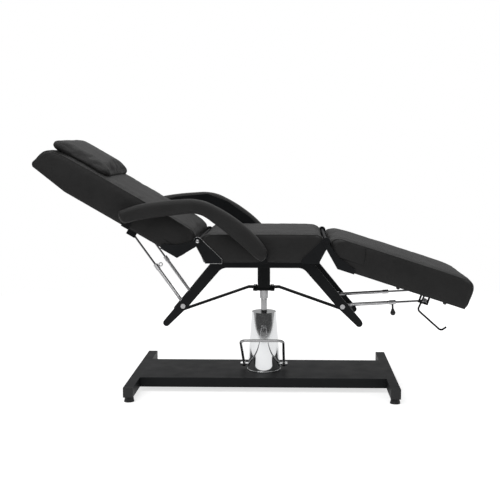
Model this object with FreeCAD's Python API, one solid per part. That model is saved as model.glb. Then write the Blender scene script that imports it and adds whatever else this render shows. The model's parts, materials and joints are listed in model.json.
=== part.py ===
import FreeCAD, Part
import math
import os

# Adjustable massage table on a hydraulic pump, in millimetres, +Z up.
# +X runs from the head end to the foot end, and +Y away from the pedal side.
# The shapes are worked out about the pump's axis and then moved along X, so that the
# origin is at the middle of the table's footprint on the floor.

V = FreeCAD.Vector
ACROSS = V(0, 1, 0)
ALONG = V(1, 0, 0)
UP = V(0, 0, 1)

# Place of the pump's axis along X
column_x = 32.4

# General
gap = 0.3
pin_play = 0.05
board_thickness = 15.0
plate_thickness = 3.0
plate_gap = 0.5
seat_plate_play = 1.0

# Base
base_length = 1106.0
bar_size = 40.0
bar_length = 622.0
tube_wall = 2.5
cap_thickness = 3.0
cap_depth = 12.0
beam_width = 311.0
foot_height = 22.0
foot_radius = 21.0
foot_top_radius = 17.0
foot_pad_height = 18.0
foot_inset = 24.0
stud_radius = 5.0
stud_length = 30.0

# Pump
block_radius = 42.0
block_height = 42.0
flange_radius = 60.0
flange_height = 8.0
pump_bolt_circle = 51.0
pump_bolt_radius = 4.0
pump_bolt_head_radius = 6.4
pump_bolt_head = 6.0
cylinder_radius = 26.0
cylinder_bore = 20.0
cylinder_length = 158.0
gland_height = 10.0
cover_bottom_radius = 71.0
cover_top_radius = 52.0
cover_height = 252.0
cover_wall = 2.0
rod_radius = 13.0
rod_length = 210.0
piston_radius = 19.9
piston_height = 8.0

# Pedal
pedal_axle_radius = 6.0
pedal_axle_height = 22.0
pedal_half_width = 86.0
pedal_hub_radius = 12.0
pedal_hub_width = 12.0
pedal_nut_width = 9.0
pedal_nut_radius = 8.5
pedal_reach = 262.0
pedal_rise = 160.0
pedal_rod_radius = 5.5
pedal_corner = 24.0

# Column and upper frame
collar_radius = 18.0
collar_height = 36.0
collar_bottom = 372.0
collar_depth = 30.3
post_flange_length = 92.0
post_flange_width = 60.0
post_flange_height = 8.0
post_size = 52.0
post_wall = 3.0
rail_depth = 30.0
frame_inner_y = 145.0
frame_thickness = 30.0
leg_knee_x = 199.0
leg_knee_inner_x = 166.0
leg_bend_outer = (338.0, 387.0)
leg_bend_inner = (308.0, 362.0)
leg_tip = (396.0, 297.0)
leg_tip_radius = 14.0
knee_round = 45.0
spreader_x = 374.0
spreader_z = 312.0
spreader_radius = 11.0
spreader_wall = 2.0
brace_width = 30.0
brace_thickness = 9.0
brace_tab = 40.0
brace_bolt_radius = 4.0
brace_nut_radius = 7.5
brace_nut_height = 6.0

# Hinges between the seat and the two sections
hinge_x = 257.0
hinge_z = 643.0
hinge_shaft_radius = 6.0
hinge_head_radius = 9.0
hinge_head_height = 4.0
hinge_ear = 16.0
ear_low = (13.0, -9.0)
ear_high = (8.0, 14.0)
seat_plate_near = 30.0
seat_plate_far = 97.0
back_plate_end = 116.0
back_plate_waist = (60.0, -52.0)
leg_plate_end = 146.0
leg_plate_waist = (56.0, -42.0)
tab_depth = 40.0
back_angle = 30.0
leg_angle = 18.0

# Cushions, measured from the hinge axis: along the section, and up from it
cushion_half_width = 243.0
board_half_width = 238.0
cushion_top = 35.0
cushion_edge_round = 22.0
seat_bottom = -87.0
seat_half_length = 243.0
seat_board_half_length = 232.0
seat_crown_half_length = 212.0
back_length = 728.0
back_board_start = 38.0
back_board_end = 720.0
back_bottom = -97.0
back_taper_start = 560.0
back_taper_rise = 24.0
leg_length = 624.0
leg_board_start = 76.0
leg_board_end = 612.0
leg_bottom = -88.0
end_slope = 46.0
end_clear = 15.0
start_dip = 4.0
head_slope = 12.0
head_lip = 5.0
foot_dip = 6.0
foot_lean = 4.0
foot_lip = 12.0
pillow_start = 422.0
pillow_end = 702.0
pillow_height = 62.0
pillow_half_width = 200.0
pillow_round = 28.0

# Armrests
arm_inner_y = 257.0
arm_width = 49.0
arm_pivot_x = 5.0
arm_pivot_up = -55.0
arm_pin_radius = 5.0
arm_pin_along = 281.0
arm_pin_up = -45.0
arm_slot_inward = 30.0
arm_slot_outward = 8.0
arm_slot_play = 1.0
arm_plate_half = 21.0
arm_end_bulge = 8.0
# Armrest lines as (x, height over the hinge line)
arm_middle_line = ((-540, 94), (-400, 131), (-268, 143), (-186, 112), (-84, 40), (5, -55))
arm_top_line = ((-560, 109), (-400, 162), (-270, 171), (-190, 150), (-94, 92), (0, 5), (40, -63))
arm_bottom_line = ((-548, 73), (-397, 99), (-262, 115), (-183, 73), (-74, -12), (2, -81))

# Stays
stay_bolt = (327.0, 367.0)
stay_bolt_radius = 5.0
stay_bolt_head = 10.0
stay_bolt_head_height = 4.5
stay_y = 133.0
stay_tube_radius = 7.0
stay_tube_bore = 4.6
stay_rod_radius = 4.0
stay_tail = 8.0
sleeve_radius = 9.0
sleeve_length = 26.0
stay_lug_radius = 11.0
stay_lug_length = 42.0
stay_eye_radius = 9.0
stay_eye_width = 9.0
stay_pin_radius = 4.0
stay_lug_inset = 1.0
stay_strip_half = 5.0
stay_eye_play = 1.0
pin_head_radius = 7.0
pin_head_height = 3.5
pin_head_play = 4.0
pin_stub = 3.0
bracket_half = 20.0
bracket_margin = 14.0
bracket_foot = 22.0
window_rim = 8.0
back_stay_drop = 25.0
back_tube_length = 205.0
back_rod_length = 280.0
leg_stay_along = 472.0
leg_stay_up = -116.0
leg_tube_length = 222.0
leg_rod_length = 240.0
window_back = 20.0
window_front = 7.0
window_down = 7.0
window_up = 24.0

# Small controls
trigger_ring_radius = 7.0
trigger_wire = 2.0
knob_radius = 11.0
knob_length = 34.0
knob_stem_radius = 4.0
knob_neck_radius = 5.0
knob_stem = 18.0
stem_start = 5.5
lever_wire = 4.0
lever_y = -60.0
lever_inset = 134.0
lever_points = ((0.0, -100.0), (-8.0, -172.0), (114.0, -226.0), (130.0, -204.0))
lever_play = 1.0
lever_bend = 16.0
lever_ear = 9.0

# Levels that follow from the sizes above
beam_bottom = foot_height
beam_top = beam_bottom + bar_size
block_top = beam_top + block_height
cylinder_top = block_top + cylinder_length
cover_top = beam_top + cover_height
pedal_axle_z = beam_top + pedal_axle_height
collar_top = collar_bottom + collar_height
post_bottom = collar_top + post_flange_height
rail_top = hinge_z + seat_bottom
rail_bottom = rail_top - rail_depth
seat_board_top = rail_top + board_thickness
arm_pivot = (arm_pivot_x, hinge_z + arm_pivot_up)
arm_middle = tuple((x, hinge_z + up) for x, up in arm_middle_line)
arm_top = tuple((x, hinge_z + up) for x, up in arm_top_line)
arm_bottom = tuple((x, hinge_z + up) for x, up in arm_bottom_line)
seat_plate_y = cushion_half_width + seat_plate_play
section_plate_y = seat_plate_y + plate_thickness + plate_gap
frame_outer_y = frame_inner_y + frame_thickness
stay_radius = math.hypot(stay_bolt[0] - hinge_x, stay_bolt[1] - hinge_z)
back_stay_up = back_bottom - back_stay_drop
back_stay_along = math.sqrt(stay_radius ** 2 - back_stay_up ** 2)

parts = {}


def add(name, *solids):
    """Keep the solids of one node."""
    parts[name] = list(solids)


def box(x, y, z):
    """Box between pairs of limits."""
    return Part.makeBox(x[1] - x[0], y[1] - y[0], z[1] - z[0], V(x[0], y[0], z[0]))


def rod(start, direction, radius, length):
    """Round bar."""
    return Part.makeCylinder(radius, length, start, direction)


def pipe(start, direction, radius, bore, length):
    """Round tube."""
    return rod(start, direction, radius, length).cut(rod(start, direction, bore, length))


def profile(points):
    """Flat face in the XZ plane from its corners."""
    corners = [V(x, 0, z) for x, z in points]
    return Part.Face(Part.makePolygon(corners + corners[:1]))


def thick(face, y):
    """Body of a face in the XZ plane, between two places along Y."""
    moved = face.copy()
    moved.translate(V(0, y[0], 0))
    return moved.extrude(V(0, y[1] - y[0], 0))


def sides(y_inner, y_outer):
    """The pairs of limits along Y for the near and the far side."""
    return ((-y_outer, -y_inner), (y_inner, y_outer))


def across_edges(solid, points):
    """The edges along Y that pass through the given places in the XZ plane."""
    found = []
    for edge in solid.Edges:
        middle = edge.CenterOfMass
        if any(math.hypot(middle.x - x, middle.z - z) < 0.5 for x, z in points):
            found.append(edge)
    return found


def bent_bar(points, radius, bend):
    """Round bar along straight runs with rounded corners."""
    edges = []
    last = points[0]
    for before, corner, after in zip(points, points[1:], points[2:]):
        way_in = (corner - before).normalize()
        way_out = (after - corner).normalize()
        half = way_in.getAngle(way_out) / 2
        reach = bend * math.tan(half)
        start = corner - way_in * reach
        end = corner + way_out * reach
        inward = (way_out - way_in).normalize()
        middle = corner + inward * (bend / math.cos(half) - bend)
        edges.append(Part.LineSegment(last, start).toShape())
        edges.append(Part.Arc(start, middle, end).toShape())
        last = end
    edges.append(Part.LineSegment(last, points[-1]).toShape())
    path = Part.Wire(edges)
    circle = Part.Wire(Part.Circle(points[0], points[1] - points[0], radius).toShape())
    return path.makePipeShell([circle], True, True)


def back_place(along, up):
    """Place in the XZ plane of a point of the backrest while it lies flat."""
    return (-hinge_x - along, hinge_z + up)


def leg_place(along, up):
    """Place in the XZ plane of a point of the leg rest while it lies flat."""
    return (hinge_x + along, hinge_z + up)


def tilt_back(solid):
    """Turn a piece of the backrest from flat to its rest angle."""
    turned = solid.copy()
    turned.rotate(V(-hinge_x, 0, hinge_z), ACROSS, back_angle)
    return turned


def tilt_leg(solid):
    """Turn a piece of the leg rest from flat to its rest angle."""
    turned = solid.copy()
    turned.rotate(V(hinge_x, 0, hinge_z), ACROSS, leg_angle)
    return turned


def turned_place(centre_x, angle, place):
    """Place in the XZ plane after a turn about a hinge axis."""
    turn = math.radians(angle)
    x = place[0] - centre_x
    z = place[1] - hinge_z
    return (centre_x + x * math.cos(turn) + z * math.sin(turn),
            hinge_z - x * math.sin(turn) + z * math.cos(turn))


def make_base():
    """The H-shaped base with its end caps and levelling feet."""
    half = base_length / 2
    beam_x = half - bar_size
    outer = box((-beam_x, beam_x), (-beam_width / 2, beam_width / 2), (beam_bottom, beam_top))
    inner = box((-beam_x + tube_wall, beam_x - tube_wall),
                (-beam_width / 2 + tube_wall, beam_width / 2 - tube_wall),
                (beam_bottom + tube_wall, beam_top - tube_wall))
    beam = outer.cut(inner)
    for place in pump_bolt_places():
        low = V(place.x, place.y, beam_top - tube_wall)
        beam = beam.cut(rod(low, UP, pump_bolt_radius + pin_play, tube_wall))
    add("base_beam", beam)
    caps = []
    foot_y = bar_length / 2 - foot_inset
    for name, low in (("head", -half), ("foot", half - bar_size)):
        high = low + bar_size
        middle = low + bar_size / 2
        bar = box((low, high), (-bar_length / 2, bar_length / 2), (beam_bottom, beam_top))
        bar = bar.cut(box((low + tube_wall, high - tube_wall), (-bar_length / 2, bar_length / 2),
                          (beam_bottom + tube_wall, beam_top - tube_wall)))
        for side, y in (("near", -foot_y), ("far", foot_y)):
            bar = bar.cut(rod(V(middle, y, beam_bottom), UP, stud_radius + pin_play, tube_wall))
            pad = Part.makeCone(foot_radius, foot_top_radius, foot_pad_height, V(middle, y, 0), UP)
            stud = rod(V(middle, y, foot_pad_height), UP, stud_radius, stud_length)
            add("levelling_foot_" + name + "_" + side, pad.fuse(stud).removeSplitter())
        add("base_bar_" + name, bar)
        for end, inward in ((-bar_length / 2, 1), (bar_length / 2, -1)):
            plate_y = sorted((end, end - inward * cap_thickness))
            plug_y = sorted((end, end + inward * cap_depth))
            slack = tube_wall + gap
            plate = box((low, high), plate_y, (beam_bottom, beam_top))
            plug = box((low + slack, high - slack), plug_y, (beam_bottom + slack, beam_top - slack))
            caps.append(plate.fuse(plug).removeSplitter())
    add("base_end_caps", *caps)


def pump_bolt_places():
    """The four bolts of the pump, between the base's two axes."""
    reach = pump_bolt_circle / math.sqrt(2)
    return [V(sx * reach, sy * reach, beam_top) for sx in (-1, 1) for sy in (-1, 1)]


def make_pump():
    """The pump body on the base, with its cover, and the piston."""
    block = rod(V(0, 0, beam_top), UP, flange_radius, flange_height)
    block = block.fuse(rod(V(0, 0, beam_top), UP, block_radius, block_height)).removeSplitter()
    axle_hole = pedal_axle_radius + pin_play
    block = block.cut(rod(V(-block_radius, 0, pedal_axle_z), ALONG, axle_hole, 2 * block_radius))
    bolts = []
    for place in pump_bolt_places():
        block = block.cut(rod(place, UP, pump_bolt_radius + pin_play, flange_height))
        shank = rod(place - UP * tube_wall, UP, pump_bolt_radius, tube_wall + flange_height)
        head = rod(place + UP * flange_height, UP, pump_bolt_head_radius, pump_bolt_head)
        bolts.append(shank.fuse(head).removeSplitter())
    add("pump_block", block)
    add("pump_bolts", *bolts)
    add("pump_cylinder", pipe(V(0, 0, block_top), UP, cylinder_radius, cylinder_bore, cylinder_length))
    add("pump_gland", pipe(V(0, 0, cylinder_top), UP, cylinder_radius, rod_radius + pin_play, gland_height))
    shell = Part.makeCone(cover_bottom_radius, cover_top_radius, cover_height, V(0, 0, beam_top), UP)
    inside = Part.makeCone(cover_bottom_radius - cover_wall, cover_top_radius - cover_wall,
                           cover_height - cover_wall, V(0, 0, beam_top), UP)
    shell = shell.cut(inside)
    shell = shell.cut(rod(V(0, 0, cover_top - 2 * cover_wall), UP, rod_radius + cover_wall, 3 * cover_wall))
    hole = pedal_axle_radius + cover_wall
    shell = shell.cut(rod(V(-cover_bottom_radius, 0, pedal_axle_z), ALONG, hole, 2 * cover_bottom_radius))
    add("pump_cover", shell)
    rod_top = collar_bottom + collar_depth - gap
    rod_bottom = V(0, 0, rod_top - rod_length)
    piston = rod(rod_bottom, UP, rod_radius, rod_length)
    piston = piston.fuse(rod(rod_bottom, UP, piston_radius, piston_height))
    add("piston_rod", piston.removeSplitter())


def make_pedal():
    """The U-shaped pedal bail on its cross axle."""
    hub_x = pedal_half_width - pedal_hub_width / 2
    end_x = pedal_half_width + pedal_hub_width / 2
    axle = rod(V(-end_x, 0, pedal_axle_z), ALONG, pedal_axle_radius, 2 * end_x)
    for side in (-1, 1):
        nut = rod(V(side * end_x, 0, pedal_axle_z), ALONG * side, pedal_nut_radius, pedal_nut_width)
        axle = axle.fuse(nut)
    add("pedal_axle", axle.removeSplitter())
    tip = V(0, -pedal_reach, pedal_axle_z + pedal_rise)
    hub = V(0, 0, pedal_axle_z)
    left = ALONG * -pedal_half_width
    right = ALONG * pedal_half_width
    bail = bent_bar([hub + left, tip + left, tip + right, hub + right], pedal_rod_radius, pedal_corner)
    for side in (-1, 1):
        hub_start = V(side * hub_x, 0, pedal_axle_z)
        bail = bail.fuse(rod(hub_start, ALONG * side, pedal_hub_radius, pedal_hub_width))
    bail = bail.cut(rod(V(-end_x, 0, pedal_axle_z), ALONG, pedal_axle_radius, 2 * end_x))
    add("pedal_bail", bail.removeSplitter())


def arch_face():
    """Outline of a side frame: a rail with two legs that splay out and taper to round tips."""
    def half(sign):
        tip = V(sign * leg_tip[0], 0, leg_tip[1])
        way = (tip - V(sign * stay_bolt[0], 0, stay_bolt[1])).normalize()
        outward = V(-sign * way.z, 0, sign * way.x) * leg_tip_radius
        if outward.x * sign < 0:
            outward = outward * -1
        return tip + outward, tip + way * leg_tip_radius, tip - outward

    outer_l, low_l, inner_l = half(-1)
    outer_r, low_r, inner_r = half(1)
    corners = [inner_l, V(-leg_bend_inner[0], 0, leg_bend_inner[1]), V(-leg_knee_inner_x, 0, rail_bottom),
               V(leg_knee_inner_x, 0, rail_bottom), V(leg_bend_inner[0], 0, leg_bend_inner[1]), inner_r]
    back = [outer_r, V(leg_bend_outer[0], 0, leg_bend_outer[1]), V(leg_knee_x, 0, rail_top),
            V(-leg_knee_x, 0, rail_top), V(-leg_bend_outer[0], 0, leg_bend_outer[1]), outer_l]
    edges = [Part.LineSegment(a, b).toShape() for a, b in zip(corners, corners[1:])]
    edges.append(Part.Arc(inner_r, low_r, outer_r).toShape())
    edges += [Part.LineSegment(a, b).toShape() for a, b in zip(back, back[1:])]
    edges.append(Part.Arc(outer_l, low_l, inner_l).toShape())
    return Part.Face(Part.Wire(edges))


def make_frame():
    """The column, the two side frames and what joins them."""
    collar = rod(V(0, 0, collar_bottom), UP, collar_radius, collar_height)
    collar = collar.cut(rod(V(0, 0, collar_bottom), UP, rod_radius + pin_play, collar_depth))
    add("piston_collar", collar)
    half_post = post_size / 2
    flange = box((-post_flange_length / 2, post_flange_length / 2),
                 (-post_flange_width / 2, post_flange_width / 2), (collar_top, post_bottom))
    post = box((-half_post, half_post), (-half_post, half_post), (post_bottom, rail_bottom))
    bore = half_post - post_wall
    add("column_post", post.cut(box((-bore, bore), (-bore, bore), (post_bottom, rail_bottom))))
    member = box((-half_post, half_post), (-frame_inner_y, frame_inner_y), (rail_bottom, rail_top))
    add("seat_crossmember", member.cut(box((-half_post + tube_wall, half_post - tube_wall),
                                           (-frame_inner_y, frame_inner_y),
                                           (rail_bottom + tube_wall, rail_top - tube_wall))))
    knees = [(-leg_knee_inner_x, rail_bottom), (leg_knee_inner_x, rail_bottom)]
    blank = thick(arch_face(), (0, frame_thickness))
    blank = blank.makeFillet(knee_round, across_edges(blank, knees))
    face = min(blank.Faces, key=lambda side: side.CenterOfMass.y)
    core = face.makeOffset2D(-tube_wall)
    bolts = []
    for name, limits in zip(("near", "far"), sides(frame_inner_y, frame_outer_y)):
        solid = thick(face, limits)
        hollow = thick(core, (limits[0] + tube_wall, limits[1] - tube_wall))
        solid = solid.cut(hollow)
        outward = V(0, -1, 0) if name == "near" else V(0, 1, 0)
        for side in (-1, 1):
            start = V(side * stay_bolt[0], 0, stay_bolt[1]) + outward * (stay_y + stay_tube_radius + gap)
            shank_length = frame_outer_y - stay_y - stay_tube_radius - gap
            solid = solid.cut(rod(start, outward, stay_bolt_radius + pin_play, shank_length))
            head_start = V(side * stay_bolt[0], 0, stay_bolt[1]) + outward * frame_outer_y
            shank = rod(start, outward, stay_bolt_radius, shank_length)
            head = rod(head_start, outward, stay_bolt_head, stay_bolt_head_height)
            bolts.append(shank.fuse(head).removeSplitter())
        add("side_frame_" + name, solid)
    add("stay_pivot_bolts", *bolts)
    add("frame_spreaders", *[pipe(V(side * spreader_x, -frame_inner_y, spreader_z), ACROSS, spreader_radius,
                                  spreader_radius - spreader_wall, 2 * frame_inner_y) for side in (-1, 1)])
    braces = []
    brace_bolts = []
    tab_end = half_post + brace_tab
    slope = math.atan2(post_bottom - spreader_z, spreader_x - tab_end)
    seat_x = spreader_x - spreader_radius * math.cos(slope)
    seat_z = spreader_z + spreader_radius * math.sin(slope)
    rise = brace_thickness / math.cos(slope)
    bolt_x = (half_post + post_flange_length / 2) / 2
    for side in (-1, 1):
        strip = profile([(side * x, z) for x, z in (
            (half_post, post_bottom), (tab_end, post_bottom), (seat_x, seat_z - rise / 2),
            (seat_x, seat_z + rise / 2), (tab_end, post_bottom + brace_thickness),
            (half_post, post_bottom + brace_thickness))])
        strip = thick(strip, (-brace_width / 2, brace_width / 2))
        spreader_start = V(side * spreader_x, -brace_width, spreader_z)
        strip = strip.cut(rod(spreader_start, ACROSS, spreader_radius, 2 * brace_width))
        place = V(side * bolt_x, 0, collar_top)
        clamp = post_flange_height + brace_thickness
        hole = rod(place, UP, brace_bolt_radius + pin_play, clamp)
        braces.append(strip.cut(hole))
        flange = flange.cut(hole)
        bolt = rod(place - UP * brace_nut_height, UP, brace_nut_radius, brace_nut_height)
        bolt = bolt.fuse(rod(place, UP, brace_bolt_radius, clamp))
        bolt = bolt.fuse(rod(place + UP * clamp, UP, brace_nut_radius, brace_nut_height))
        brace_bolts.append(bolt.removeSplitter())
    add("post_flange", flange)
    add("frame_braces", *braces)
    add("brace_bolts", *brace_bolts)


def soft_body(points, half_width, top_z, edge_round):
    """Cushion of a side outline, with its long top edges rounded."""
    solid = thick(profile(points), (-half_width, half_width))
    long_edges = []
    for edge in solid.Edges:
        middle = edge.CenterOfMass
        if abs(abs(middle.y) - half_width) < 0.1 and abs(middle.z - top_z) < 0.1:
            long_edges.append(edge)
    return solid.makeChamfer(edge_round, long_edges)


def foot_tab(x, inner_y, plate_limits, z):
    """Tab under a board that carries an upright plate."""
    if plate_limits[0] < 0:
        return box(x, (plate_limits[0], -inner_y), z)
    return box(x, (inner_y, plate_limits[1]), z)


def hinge_plate(centre, corners, tab_x, tab_z, limits):
    """Hinge plate with a round ear about the shaft and a tab under its board."""
    middle = (limits[0] + limits[1]) / 2
    start = V(centre[0], middle - plate_thickness / 2, centre[1])
    plate = rod(start, ACROSS, hinge_ear, plate_thickness)
    plate = plate.fuse(thick(profile(corners), limits))
    plate = plate.fuse(foot_tab(tab_x, board_half_width - tab_depth, limits, tab_z))
    plate = plate.removeSplitter()
    return plate.cut(rod(start, ACROSS, hinge_shaft_radius + pin_play, plate_thickness))


def make_seat():
    """The fixed seat between the two hinges."""
    add("seat_board", box((-seat_board_half_length, seat_board_half_length),
                          (-board_half_width, board_half_width), (rail_top, seat_board_top)))
    top = hinge_z + cushion_top
    half_outline = ((seat_board_half_length, seat_board_top),
                    (seat_half_length, seat_board_top + end_slope / 2),
                    (seat_half_length, top - end_slope),
                    (seat_crown_half_length, top))
    outline = [(x, z) for x, z in half_outline] + [(-x, z) for x, z in reversed(half_outline)]
    add("seat_cushion", soft_body(outline, cushion_half_width, top, cushion_edge_round))
    plates = []
    tab = (hinge_x - seat_plate_far, hinge_x - seat_plate_near)
    for side in (-1, 1):
        corners = [(side * x, z) for x, z in (
            (hinge_x + ear_low[0], hinge_z + ear_low[1]), (hinge_x - ear_high[0], hinge_z + ear_high[1]),
            (tab[0], seat_board_top), (tab[0], rail_top - plate_thickness),
            (tab[1], rail_top - plate_thickness))]
        tab_x = sorted((side * tab[0], side * tab[1]))
        for limits in sides(seat_plate_y, seat_plate_y + plate_thickness):
            plates.append(hinge_plate((side * hinge_x, hinge_z), corners, tab_x,
                                      (rail_top - plate_thickness, rail_top), limits))
    add("seat_hinge_plates", *plates)
    brackets = []
    for limits, outward in zip(sides(seat_plate_y, seat_plate_y + plate_thickness), (ACROSS * -1, ACROSS)):
        x, z = arm_pivot
        width = (x - hinge_ear, x + hinge_ear)
        bracket = box(width, limits, (rail_top - plate_thickness, z + hinge_ear))
        tab_z = (rail_top - plate_thickness, rail_top)
        bracket = bracket.fuse(foot_tab(width, board_half_width - tab_depth, limits, tab_z))
        start = V(x, 0, z) + outward * (seat_plate_y + plate_thickness)
        reach = arm_inner_y + plate_thickness - gap - seat_plate_y - plate_thickness
        brackets.append(bracket.fuse(rod(start, outward, arm_pin_radius, reach)).removeSplitter())
    add("arm_front_brackets", *brackets)


def make_shaft(name, centre_x):
    """Hinge shaft across the table with a round head at each end."""
    end = section_plate_y + plate_thickness
    shaft = rod(V(centre_x, -end, hinge_z), ACROSS, hinge_shaft_radius, 2 * end)
    for outward in (V(0, -1, 0), V(0, 1, 0)):
        start = V(centre_x, 0, hinge_z) + outward * end
        shaft = shaft.fuse(rod(start, outward, hinge_head_radius, hinge_head_height))
    add(name, shaft.removeSplitter())


def make_backrest():
    """The backrest with its board, hinge plates and pillow."""
    board_top = back_bottom + board_thickness
    rise = back_taper_rise
    board = profile([back_place(*p) for p in (
        (back_board_start, back_bottom), (back_taper_start, back_bottom),
        (back_board_end, back_bottom + rise), (back_board_end, board_top + rise),
        (back_taper_start, board_top), (back_board_start, board_top))])
    add("back_board", tilt_back(thick(board, (-board_half_width, board_half_width))))
    outline = [back_place(*p) for p in (
        (back_board_start, board_top), (end_clear, -end_slope / 2),
        (end_clear, cushion_top - end_slope / 2 - start_dip),
        (end_clear + end_slope, cushion_top), (back_length - end_slope / 2 - head_slope, cushion_top),
        (back_length - head_slope, cushion_top - end_slope / 2), (back_length, board_top + rise + head_lip),
        (back_board_end, board_top + rise), (back_taper_start, board_top))]
    cushion = soft_body(outline, cushion_half_width, hinge_z + cushion_top, cushion_edge_round)
    add("back_cushion", tilt_back(cushion))
    corners = [back_place(*p) for p in (
        (-ear_high[0], ear_high[1]), back_plate_waist, (back_plate_end, board_top),
        (back_plate_end, back_bottom - plate_thickness), (back_board_start, back_bottom - plate_thickness),
        (-ear_low[0], ear_low[1]))]
    tab_x = (-hinge_x - back_plate_end, -hinge_x - back_board_start)
    tab_z = (hinge_z + back_bottom - plate_thickness, hinge_z + back_bottom)
    plates = [tilt_back(hinge_plate((-hinge_x, hinge_z), corners, tab_x, tab_z, limits))
              for limits in sides(section_plate_y, section_plate_y + plate_thickness)]
    add("back_hinge_plates", *plates)
    make_shaft("back_hinge_shaft", -hinge_x)
    pillow = Part.makeBox(pillow_end - pillow_start, 2 * pillow_half_width, pillow_height,
                          V(-hinge_x - pillow_end, -pillow_half_width, hinge_z + cushion_top + gap))
    pillow = pillow.makeFillet(pillow_round, pillow.Edges)
    add("head_pillow", tilt_back(pillow))
    brackets = []
    x, z = back_place(arm_pin_along, arm_pin_up)
    width = (x - hinge_ear, x + hinge_ear)
    for limits, outward in zip(sides(seat_plate_y, seat_plate_y + plate_thickness), (ACROSS * -1, ACROSS)):
        low = hinge_z + back_bottom - plate_thickness
        bracket = box(width, limits, (low, z + hinge_ear))
        tab_z = (low, low + plate_thickness)
        bracket = bracket.fuse(foot_tab(width, board_half_width - tab_depth, limits, tab_z))
        start = V(x, 0, z) + outward * (seat_plate_y + plate_thickness)
        reach = arm_inner_y + plate_thickness - gap - seat_plate_y - plate_thickness
        bracket = bracket.fuse(rod(start, outward, arm_pin_radius, reach)).removeSplitter()
        brackets.append(tilt_back(bracket))
    add("arm_rear_brackets", *brackets)


def make_legrest():
    """The leg rest with its board and hinge plates."""
    board_top = leg_bottom + board_thickness
    board = box((hinge_x + leg_board_start, hinge_x + leg_board_end), (-board_half_width, board_half_width),
                (hinge_z + leg_bottom, hinge_z + board_top))
    add("leg_board", tilt_leg(board))
    outline = [leg_place(*p) for p in (
        (leg_board_start, board_top), (end_clear, -end_slope / 2),
        (end_clear, cushion_top - end_slope / 2 - start_dip),
        (end_clear + end_slope, cushion_top), (leg_length - end_slope / 2 - foot_dip, cushion_top),
        (leg_length, cushion_top - end_slope / 2 - foot_dip), (leg_length - foot_lean, board_top + foot_lip),
        (leg_board_end, board_top))]
    cushion = soft_body(outline, cushion_half_width, hinge_z + cushion_top, cushion_edge_round)
    add("leg_cushion", tilt_leg(cushion))
    corners = [leg_place(*p) for p in (
        (-ear_high[0], ear_high[1]), leg_plate_waist, (leg_plate_end, board_top),
        (leg_plate_end, leg_bottom - plate_thickness), (leg_board_start, leg_bottom - plate_thickness),
        (-ear_low[0], ear_low[1]))]
    tab_x = (hinge_x + leg_board_start, hinge_x + leg_plate_end)
    tab_z = (hinge_z + leg_bottom - plate_thickness, hinge_z + leg_bottom)
    plates = [tilt_leg(hinge_plate((hinge_x, hinge_z), corners, tab_x, tab_z, limits))
              for limits in sides(section_plate_y, section_plate_y + plate_thickness)]
    add("leg_hinge_plates", *plates)
    make_shaft("leg_hinge_shaft", hinge_x)


def arm_face():
    """Side outline of an armrest: a flat rear run that bends down to the seat."""
    def curve(points):
        spline = Part.BSplineCurve()
        spline.interpolate([V(x, 0, z) for x, z in points])
        return spline

    def end(low, high, bulge):
        middle = V((low[0] + high[0]) / 2 + bulge, 0, (low[1] + high[1]) / 2 - arm_end_bulge / 2)
        return Part.Arc(V(low[0], 0, low[1]), middle, V(high[0], 0, high[1]))

    top = curve(arm_top)
    bottom = curve(arm_bottom)
    front = end(arm_bottom[-1], arm_top[-1], arm_end_bulge)
    rear = end(arm_bottom[0], arm_top[0], -2 * arm_end_bulge)
    edges = [top.toShape(), front.toShape(), bottom.toShape(), rear.toShape()]
    return Part.Face(Part.Wire(Part.__sortEdges__(edges)))


def arm_strip():
    """Outline of the steel plate of an armrest, a strip along its middle line."""
    middle = [V(x, 0, z) for x, z in arm_middle]
    upper = []
    lower = []
    for index, point in enumerate(middle):
        before = middle[max(index - 1, 0)]
        after = middle[min(index + 1, len(middle) - 1)]
        way = (after - before).normalize()
        side = V(-way.z, 0, way.x) * arm_plate_half
        upper.append(point + side)
        lower.append(point - side)
    outline = upper + lower[::-1]
    return Part.Face(Part.makePolygon(outline + outline[:1]))


def make_armrests():
    """Padded armrests on steel plates, with a round front bearing and a slot for the rear pin."""
    face = arm_face()
    core = arm_strip()
    x, z = turned_place(-hinge_x, back_angle, back_place(arm_pin_along, arm_pin_up))
    way = V(arm_pivot[0] - x, 0, arm_pivot[1] - z).normalize()
    for name, inner, outer in (("near", -arm_inner_y, -1), ("far", arm_inner_y, 1)):
        plate_y = sorted((inner, inner + outer * plate_thickness))
        pad_y = sorted((inner + outer * plate_thickness, inner + outer * (plate_thickness + arm_width)))
        plate = thick(core, plate_y)
        ear = rod(V(arm_pivot[0], plate_y[0], arm_pivot[1]), ACROSS, arm_plate_half, plate_thickness)
        plate = plate.fuse(ear).removeSplitter()
        hole = arm_pin_radius + pin_play
        plate = plate.cut(rod(V(arm_pivot[0], plate_y[0], arm_pivot[1]), ACROSS, hole, plate_thickness))
        slot_half = arm_pin_radius + arm_slot_play
        start = V(x, plate_y[0], z) - way * arm_slot_outward
        end = V(x, plate_y[0], z) + way * arm_slot_inward
        slot = rod(start, ACROSS, slot_half, plate_thickness)
        slot = slot.fuse(rod(end, ACROSS, slot_half, plate_thickness))
        side = V(way.z, 0, -way.x) * slot_half
        run = Part.Face(Part.makePolygon([start + side, end + side, end - side, start - side, start + side]))
        plate = plate.cut(slot.fuse(run.extrude(ACROSS * plate_thickness)))
        add("arm_plate_" + name, plate)
        add("arm_pad_" + name, thick(face, pad_y))


def stay_frame(start, end):
    """Unit direction from one place in the XZ plane to another, and the distance."""
    way = V(end[0] - start[0], 0, end[1] - start[1])
    length = way.Length
    return way.normalize(), length


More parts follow.
